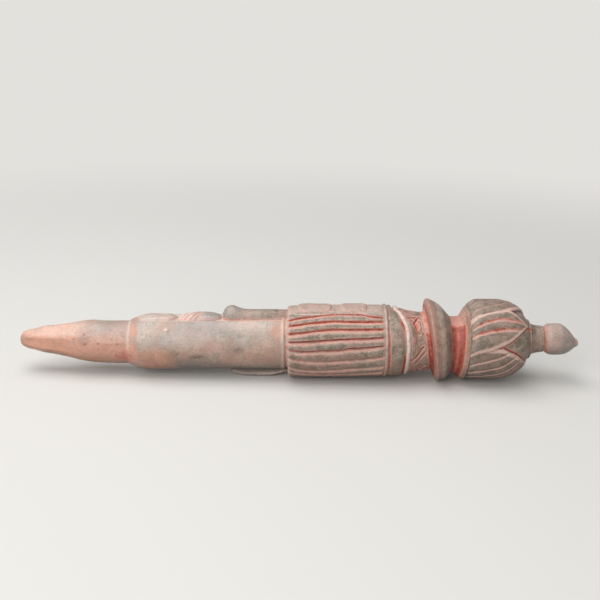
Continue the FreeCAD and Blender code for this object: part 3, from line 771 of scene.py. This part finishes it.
# Zigzag band: slashes and small diamonds cut with a knife.
zigzagLook = {
    "drop": [(0, 0), (4, -0.6), (9, -0.8), (12.3, 0)],
    "profile": [(0, 17.4), (1, 17.45), (5, 16.4), (9.5, 15.8), (10.6, 15.7), (11.4, 15.6), (11.9, 15.9),
                (12.3, 17.6)],
    # Cuts on the seen side, as lines of (mm from the band's start, degrees), then how wide and deep.
    "cuts": [
        ([(0.8, 61), (6.8, 72)], 0.5, 0.55), ([(0.8, 58), (3.2, 44), (7.2, 33)], 0.45, 0.45),
        ([(7.4, 68), (5.2, 56), (5, 46), (7, 34)], 0.45, 0.45), ([(8.4, 62), (8.6, 40)], 0.4, 0.35),
        ([(0.2, -21), (3.5, -10), (8.3, 9)], 0.6, 0.75), ([(2.8, -28), (5.5, -14), (8.9, -1)], 0.5, 0.6),
        ([(0.2, -34), (4.2, -48), (5, -62)], 0.5, 0.6), ([(3.2, -31), (8.4, -52)], 0.45, 0.55),
        ([(8.2, -34), (3.6, -58)], 0.45, 0.55), ([(1.6, 22), (3, 10), (2.6, -4)], 0.35, 0.3),
    ],
    "pit": (5.9, 50, 2.2, 4.2, 0.55),  # mm from the start, degrees, reach along and around, depth
    "repeatEvery": 108,
}
angle = anglesAround(520)
s, past, radius, marks = zone("zigzag_band", "flange", 0.22, angle, zigzagLook["profile"], 0.7)
stray = bumps(s, angle, 1.8, 71, 17)
mark(marks, warm=0.18, pale=0.5 * soft(0.8, 0.2, past))
cutter = np.random.default_rng(72)
for copy in range(3):
    further = zigzagLook["repeatEvery"] * copy
    for points, cutWide, cutDeep in zigzagLook["cuts"]:
        jitter = cutter.uniform(-0.5, 0.5, (len(points), 2)) * (copy > 0)
        moved = [(at + j[0], turn + further + 4 * j[1]) for (at, turn), j in zip(points, jitter)]
        away = cutLine(past, angle, moved, 17.0) / cutWide
        radius = radius - cutDeep * soft(1.0, 0.1, away)
        mark(marks, ochre=(0.74 + 0.2 * stray) * soft(1.05, 0.3, away))
        mark(marks, ochre=(0.24 + 0.2 * stray) * soft(2.6, 1.2, away),
             pale=(0.35 + 0.3 * stray) * bell(away - 1.7, 0.5))
    at, turnTo, along, across, deep = zigzagLook["pit"]
    reach = np.hypot((past - at) / along, mmAround(angle, turnTo + further, 17) / across)
    radius = radius - deep * soft(1.0, 0.2, reach)
    mark(marks, ochre=(0.50 + 0.15 * stray) * soft(1.05, 0.5, reach))
# The trench before the flange holds red ochre; towards the top it is painted less red and paler, a painted
# highlight.
trench = soft(9.2, 10.8, past)
mark(marks, ochre=trench * (0.76 + 0.10 * stray - 0.28 * soft(15, 50, turnFrom(angle, 0))),
     pale=0.5 * trench * bell(turnFrom(angle, 52), 16))
rings = roundSkin(s, angle, radius, leanAt(s), curve(zigzagLook["drop"])(past), wave(s, angle))
settle("zigzag_band", rings, marks)

# Flange.
flangeLook = {
    "profile": [(0, 17.6), (0.25, 19.6), (0.6, 21), (1.1, 21.9), (1.8, 22.25), (2.7, 22), (4.2, 21.4),
                (7, 19.9), (9.6, 17.3), (11, 15.6)],
    "drop": [(0, 0.12), (2.9, 0.1), (4.6, -0.3), (7, -1.2), (9.6, -2.4), (11, -2.8)],
    "toolMark": 0.09,
}
s = joined(stationsBetween(starts["flange"], starts["flange"] + 1.4, 0.07),
           stationsBetween(starts["flange"] + 1.6, starts["collar"], 0.22))
angle = anglesAround(440)
past = s - starts["flange"]
radius = curve(flangeLook["profile"])(past) + 0.8 * handWork(s, angle)
marks = stoneMarks(s, angle)
stray = bumps(s, angle, 2.4, 81, 20)
scraped = turnings(s, angle, 3.2, 82)
radius = radius + flangeLook["toolMark"] * scraped * soft(1.5, 3.0, past)
wall = soft(20.8, 19.2, radius) * soft(1.4, 1.0, past)
mark(marks, ochre=wall * (0.70 + 0.15 * stray))
# Bands round the flange: pinkish, then a lighter band where its bend meets the light, a painted highlight,
# then darker towards the hollow, a painted shade.
mark(marks, warm=0.50 * soft(4.8, 3.4, past) * (1 + 0.3 * stray),
     pale=0.28 * between(past, 4.2, 5.2, 6.8, 7.8), dark=0.20 * soft(7.2, 8.4, past))
mark(marks, pale=0.22 * (scraped > 0.25) * between(past, 3.0, 5.0, 7.5, 9.5),
     ochre=0.6 * soft(10.3, 11.0, past) * soft(75, 50, turnFrom(angle, 0)))
rings = roundSkin(s, angle, radius, leanAt(s), drop=curve(flangeLook["drop"])(past))
settle("flange", rings, marks)

# Collar: the deep red hollow under the dome.
collarLook = {
    "profile": [(0, 15.4), (1.2, 15.2), (2.8, 15.3), (5, 15.9)],
    "drop": [(0, -2.8), (2.5, -3), (5, -3.2)],
    "lean": [(0, 0), (5, -4.5)],
}
angle = anglesAround(360)
s, past, radius, marks = zone("collar", "dome_core", 0.22, angle, collarLook["profile"], 0.6)
stray = bumps(s, angle, 1.8, 91, 15)
upTo = soft(76, 54, np.abs(turnFrom(angle, -10)) - 8)  # the red stops short of the very front
# Along the middle of the hollow the ochre is painted thinner: a painted highlight stripe.
mark(marks, ochre=(0.84 + 0.06 * stray - 0.20 * bell(past - 2.6, 0.8)) * upTo)
mark(marks, ochre=(0.40 + 0.06 * stray) * (1 - upTo), dark=0.15 * (1 - upTo))
rings = roundSkin(s, angle, radius, curve(collarLook["lean"])(past), drop=curve(collarLook["drop"])(past))
settle("collar", rings, marks, ochredSoapstone)

# Dome: an inner bud under two wide and two narrow petals.
domeLook = {
    "widest": 0.35, "towardsKnob": 0.705, "towardsPeg": 0.44, "radius": 22.0, "power": 3.2, "length": 37.5,
    "rim": 3.5, "coreInset": 1.9, "backInset": 0.85, "frontInset": 0.15,
    "drop": [(0, -3.2), (2, -2.3), (4.5, -0.9), (7.5, 0)], "lean": [(0, -4.5), (5, -3), (12, 0)],
    # Borders of the narrow petal and the tip side of the wide one: (mm from the dome's start, degrees).
    "narrowLow": [(3.2, -6.5), (8, -1.5), (13, 1.5), (18, 7), (23.4, 13.5), (27.7, 22), (31.4, 32),
                  (33.9, 41), (35.5, 46)],
    "narrowHigh": [(3.2, 53.5), (8.7, 57.5), (14, 62), (19.7, 65.5), (24, 67.5), (27.7, 63), (31, 55),
                   (33.9, 49.5), (35.5, 47)],
    "wideHigh": [(3.2, 8), (19.7, 6), (23.4, 1), (27.7, -6.5), (31, -17), (33.5, -33), (35.3, -52),
                 (36.2, -62)],
    "wideLow": [(3.2, -132), (14, -128), (22, -120), (28, -110), (33, -92), (35.3, -74), (36.2, -63)],
    # Flutes, as lines of the same kind.
    "narrowFlutes": [
        [(3.5, 36.5), (8, 40), (13.4, 45), (21.4, 48.5), (25, 47.5), (29.7, 47.5), (35, 46.5)],
        [(3.5, 24.5), (8, 27.5), (15.7, 31.5), (22.4, 33.5), (28.4, 33.5), (34, 42)],
    ],
    "wideFluteStarts": [-22.5, -40.5, -57, -69, -84, -100, -117],
    "wideFluteSweep": [(3.5, 0), (14, 10), (19.5, 15), (24.4, 24), (27, 31), (30.5, 40), (35, 55)],
    "fluteDepth": 0.65,
}
domeStart = starts["dome_core"]
domePeak = domeLook["widest"] * domeLook["length"]


def domeRadius(past):
    above = np.clip((past - domePeak) / (domeLook["towardsKnob"] * domeLook["length"]), 0, 1)
    below = np.clip((domePeak - past) / (domeLook["towardsPeg"] * domeLook["length"]), 0, 1)
    return domeLook["radius"] * np.sqrt(1 - np.maximum(above, below) ** domeLook["power"])


def domeSkin(past, angle, radius):
    # The dome sits a little low on the hollow and leans towards the knob where it starts.
    lean, drop = curve(domeLook["lean"])(past), curve(domeLook["drop"])(past)
    return roundSkin(domeStart + past, angle, radius, lean, drop)


def petal(node, low, high, flutes, wide, inset, seed, turnBy, depthShare):
    s = joined([3.25, 3.3, 3.4, 3.55, 3.75], stationsBetween(4, 34.6, 0.36),
               np.linspace(34.8, low[-1][0] - 0.05, 6))
    outer, inner = 230, 24
    share = np.linspace(-1, 1, outer)[None, :]
    share = np.sign(share) * (1 - (1 - np.abs(share)) ** 1.35)
    lowAt, highAt = curve(low)(s), curve(high)(s)
    angle = (lowAt + highAt) / 2 + share * (highAt - lowAt) / 2
    base = domeRadius(s)
    perDegree = math.pi / 180 * base
    fromEdge = np.minimum(angle - lowAt, highAt - angle) * perDegree
    edgeDrop = 1 - quarterRound(fromEdge)
    endDrop = 0.8 * (1 - quarterRound((s - 3.2) / 0.8))
    near = np.full(angle.shape, 9.0)  # how far each spot is from a flute, in mm
    for points in flutes:
        away = mmAround(angle, curve(points)(s), base)
        near = np.where(np.abs(away) < np.abs(near), away, near)
    dip = soft(1.0, 0.08, np.abs(near) / wide)
    stations, turned = domeStart + s, angle + turnBy
    stray = bumps(stations, turned, 2.0, seed, 20)
    fade = soft(3.4, 5.0, s) * soft(0.6, 1.6, fromEdge)
    crest = np.minimum(np.minimum(np.abs(near), fromEdge), 3.0) / 3.0
    radius = base - inset + 0.7 * handWork(stations, turned) - edgeDrop - endDrop
    radius = radius - 0.35 * (1 - crest) ** 2
    radius = radius - domeLook["fluteDepth"] * depthShare * dip * fade * (1 + 0.2 * stray)
    marks = stoneMarks(stations, turned)
    # A flute has a dark upper wall and salmon dust on its floor; the petal's edge is worn pale.
    stipple = soft(0.15, 0.6, bumps(stations, turned, 0.9, seed + 20, 20))
    mark(marks, dark=0.14 + 0.08 * stray + 0.16 * stipple)
    upperWall = soft(1.0, 0.3, np.abs(near - 0.6 * wide) / (0.45 * wide)) * fade
    floorOf = soft(1.25, 0.5, np.abs(near + 0.15 * wide) / wide) * fade
    mark(marks, ochre=depthShare * (0.60 + 0.2 * stray) * upperWall)
    mark(marks, ochre=depthShare * (0.38 + 0.2 * stray) * floorOf,
         pale=depthShare * (0.60 + 0.3 * stray) * floorOf)
    worn = soft(3.0, 1.9, fromEdge + 0.3 * stray) * soft(0.0, 0.5, fromEdge)
    mark(marks, pale=(0.80 + 0.2 * stray) * worn, ochre=(0.27 + 0.12 * stray) * worn)
    marks["dark"] = marks["dark"] * (1 - worn) * (1 - floorOf * depthShare)
    outerRings = domeSkin(s, turned, radius)
    backShare = np.linspace(0, 1, inner + 2)[None, 1:-1]
    backAngle = highAt + (lowAt - highAt) * backShare + turnBy
    backRadius = np.maximum(base - domeLook["coreInset"] - 1.6, 0.5)
    backRings = domeSkin(s, backAngle, backRadius + 0 * backAngle)
    filler = {kind: np.concatenate([values, np.zeros(backAngle.shape)], 1) for kind, values in marks.items()}
    settle(node, np.concatenate([outerRings, backRings], 1), filler)


s = stationsBetween(domeStart, starts["finial_neck"], 0.35)
past = s - domeStart
angle = anglesAround(420)
full = domeRadius(past)
covered = soft(domeLook["rim"] - 0.4, domeLook["rim"] + 0.5, past)
radius = full - domeLook["coreInset"] * covered * soft(37.6, 36.6, past) + 0.7 * handWork(s, angle)
stray = bumps(s, angle, 2.0, 101, 20)
marks = stoneMarks(s, angle)
for turnBy in (0, 180):
    for border, strength in (("wideHigh", 0.85), ("narrowLow", 0.45), ("narrowHigh", 0.6)):
        away = np.abs(mmAround(angle - turnBy, curve(domeLook[border])(past), full))
        mark(marks, ochre=(strength + 0.2 * stray) * soft(2.2, 0.6, away) * soft(18, 22, past))
mark(marks, warm=0.45 * soft(3.8, 3.0, past),
     ochre=0.7 * soft(1.2, 0.7, past) * soft(76, 54, np.abs(turnFrom(angle, -10)) - 8))
mark(marks, ochre=0.3 * soft(2.2, 1.2, past))
settle("dome_core", domeSkin(past, angle, radius), marks)

wideFlutes = [[(at, first + lift) for at, lift in domeLook["wideFluteSweep"]]
              for first in domeLook["wideFluteStarts"]]
for node, low, high, flutes, wide, inset, seed, turnBy, depthShare in (
    ("left_petal", "narrowLow", "narrowHigh", domeLook["narrowFlutes"], 1.15, 0.0, 111, 0, 1.0),
    ("right_petal", "narrowLow", "narrowHigh", domeLook["narrowFlutes"], 1.15, 0.0, 112, 180, 1.0),
    ("back_petal", "wideLow", "wideHigh", wideFlutes, 0.75, domeLook["backInset"], 113, 0, 0.85),
    ("front_petal", "wideLow", "wideHigh", wideFlutes, 0.75, domeLook["frontInset"], 114, 180, 0.45),
):
    petal(node, domeLook[low], domeLook[high], flutes, wide, inset, seed, turnBy, depthShare)

# Finial.
finialLook = {
    "neck": [(0, 9.6), (1.2, 8.5), (3.5, 7.6), (6.5, 7.1), (7.6, 7.05), (8.3, 6.7), (9, 6.75)],
    "knob": [(0, 6.75), (0.5, 7.3), (1.4, 8), (3.2, 8.5), (5.5, 8.65), (8, 8.5), (10, 7.8),
             (12.2, 6.6), (14.4, 4.8), (16, 3.1), (16.9, 2.45), (17.7, 2), (18.2, 1.4), (18.5, 0.1)],
    "droop": [(0, 0), (4, 0), (8, -0.1), (10, -0.6), (12.2, -1.1), (14.4, -1.7), (16.5, -2.3), (18.5, -2.5)],
}
knobStart = starts["finial_knob"]
angle = anglesAround(220)
s, past, radius, marks = zone("finial_neck", "finial_knob", 0.25, angle, finialLook["neck"], 0.6)
scraped = turnings(s, angle, 1.9, 121)
radius = radius + 0.09 * scraped
stray = bumps(s, angle, 1.6, 122, 8)
mark(marks, ochre=(0.42 + 0.3 * stray) * soft(7.6, 8.5, past), pale=0.2 * (scraped > 0.3))
settle("finial_neck", roundSkin(s, angle, radius), marks)
lastRings = stoneEnd - np.array([0.95, 0.7, 0.5, 0.32, 0.18, 0.07])
s = joined(stationsBetween(knobStart, stoneEnd - 1.2, 0.3), lastRings)
past = s - knobStart
radius = curve(finialLook["knob"])(past) + 0.6 * handWork(s, angle) * soft(18.4, 16, past)
# One cut with a knife left a flat on the near side below the nub.
facet = 5.6 / np.maximum(np.cos(np.radians(turnFrom(angle, -20))), 0.2)
radius = radius - 0.5 * np.maximum(radius - facet - 0.9, 0) * soft(8, 11, past)
aroundFacet = (angle - 34) % (360 / 7) - 180 / 7
radius = radius * (1 + (np.minimum(1.0, 0.955 / np.cos(np.radians(aroundFacet))) - 1) * soft(1, 4, past))
marks = stoneMarks(s, angle)
stray = bumps(s, angle, 1.8, 123, 8)
mark(marks, cool=0.45 + 0.3 * stray, ochre=(0.42 + 0.3 * stray) * soft(1.3, 0.2, past))
mark(marks, ochre=(0.34 + 0.15 * stray) * soft(16.2, 17.0, past), pale=0.5 * soft(15.8, 17.0, past))
settle("finial_knob", roundSkin(s, angle, radius, drop=curve(finialLook["droop"])(past)), marks,
       rubbedSoapstone)

# Table top: a paper sweep, pale to the eye but dull in what it throws back.
floorLook = {"seen": "#dddbd7", "thrown": "#8d8984", "far": "#e3e1dd", "fadeFrom": 0.2, "fadeTo": 0.75,
             "size": 12.0}
floorMaterial = bpy.data.materials.new("pale_backdrop_paper")
tree = emptyTree(floorMaterial)
paths = addNode(tree, "LightPath").outputs
seen = addNode(tree, "Math", {"operation": "MAXIMUM"}, {0: paths["Is Camera Ray"], 1: paths["Is Glossy Ray"]})
inputs = {0: seen.outputs[0], 1: paths["Is Transmission Ray"]}
seen = addNode(tree, "Math", {"operation": "MAXIMUM"}, inputs).outputs[0]
inputs = {0: seen, 6: floorLook["thrown"], 7: floorLook["seen"]}
floorColour = addNode(tree, "Mix", {"data_type": "RGBA"}, inputs).outputs[2]
paper = addNode(tree, "BsdfDiffuse", None, {"Color": floorColour}).outputs[0]
# Away from the stone the sweep fades to the backdrop's own even tone.
sweep = addNode(tree, "Emission", None, {"Color": floorLook["far"], "Strength": 1.0}).outputs[0]
inputs = {0: addNode(tree, "TexCoord").outputs["Object"]}
reach = addNode(tree, "VectorMath", {"operation": "LENGTH"}, inputs).outputs["Value"]
inputs = {"Value": reach, "From Min": floorLook["fadeFrom"], "From Max": floorLook["fadeTo"]}
fade = addNode(tree, "MapRange", {"interpolation_type": "SMOOTHSTEP"}, inputs).outputs[0]
fade = addNode(tree, "Math", {"operation": "MULTIPLY"}, {0: fade, 1: seen}).outputs[0]
surface = addNode(tree, "MixShader", None, {0: fade, 1: paper, 2: sweep}).outputs[0]
addNode(tree, "OutputMaterial", None, {"Surface": surface})
floorMesh = bpy.data.meshes.new("table_top")
half = floorLook["size"] / 2
floorMesh.from_pydata([(-half, -half, 0), (half, -half, 0), (half, half, 0), (-half, half, 0)], [],
                      [(0, 1, 2, 3)])
floorMesh.materials.append(floorMaterial)
addObject("table_top", floorMesh)

# Soft studio light: one large lamp overhead, a weaker one beside the camera.
lampLook = {
    "overhead": {"place": (-0.25, -0.05, 0.95), "size": (1.1, 0.7), "watts": 7.0},
    "front": {"place": (-0.62, -0.95, 0.5), "size": (0.9, 0.9), "watts": 8.4},
}
lampAim = Vector((0, 0, 0.02))
for name, look in lampLook.items():
    lampData = bpy.data.lights.new(name, "AREA")
    lampData.shape = "RECTANGLE"
    lampData.size, lampData.size_y = look["size"]
    lampData.energy = look["watts"]
    lamp = addObject(name, lampData)
    lamp.location = look["place"]
    lamp.rotation_euler = (lampAim - Vector(look["place"])).to_track_quat("-Z", "Y").to_euler()
world = bpy.data.worlds.new("studio")
bpy.context.scene.world = world
tree = emptyTree(world)
isCamera = addNode(tree, "LightPath").outputs["Is Camera Ray"]
fill = addNode(tree, "Background", None, {"Color": "#e6e6e6", "Strength": 0.46}).outputs[0]
backdrop = addNode(tree, "Background", None, {"Color": floorLook["far"], "Strength": 1.0}).outputs[0]
surface = addNode(tree, "MixShader", None, {0: isCamera, 1: fill, 2: backdrop}).outputs[0]
addNode(tree, "OutputWorld", None, {"Surface": surface})
bpy.context.scene.view_settings.view_transform = "Standard"
print("light and camera set")
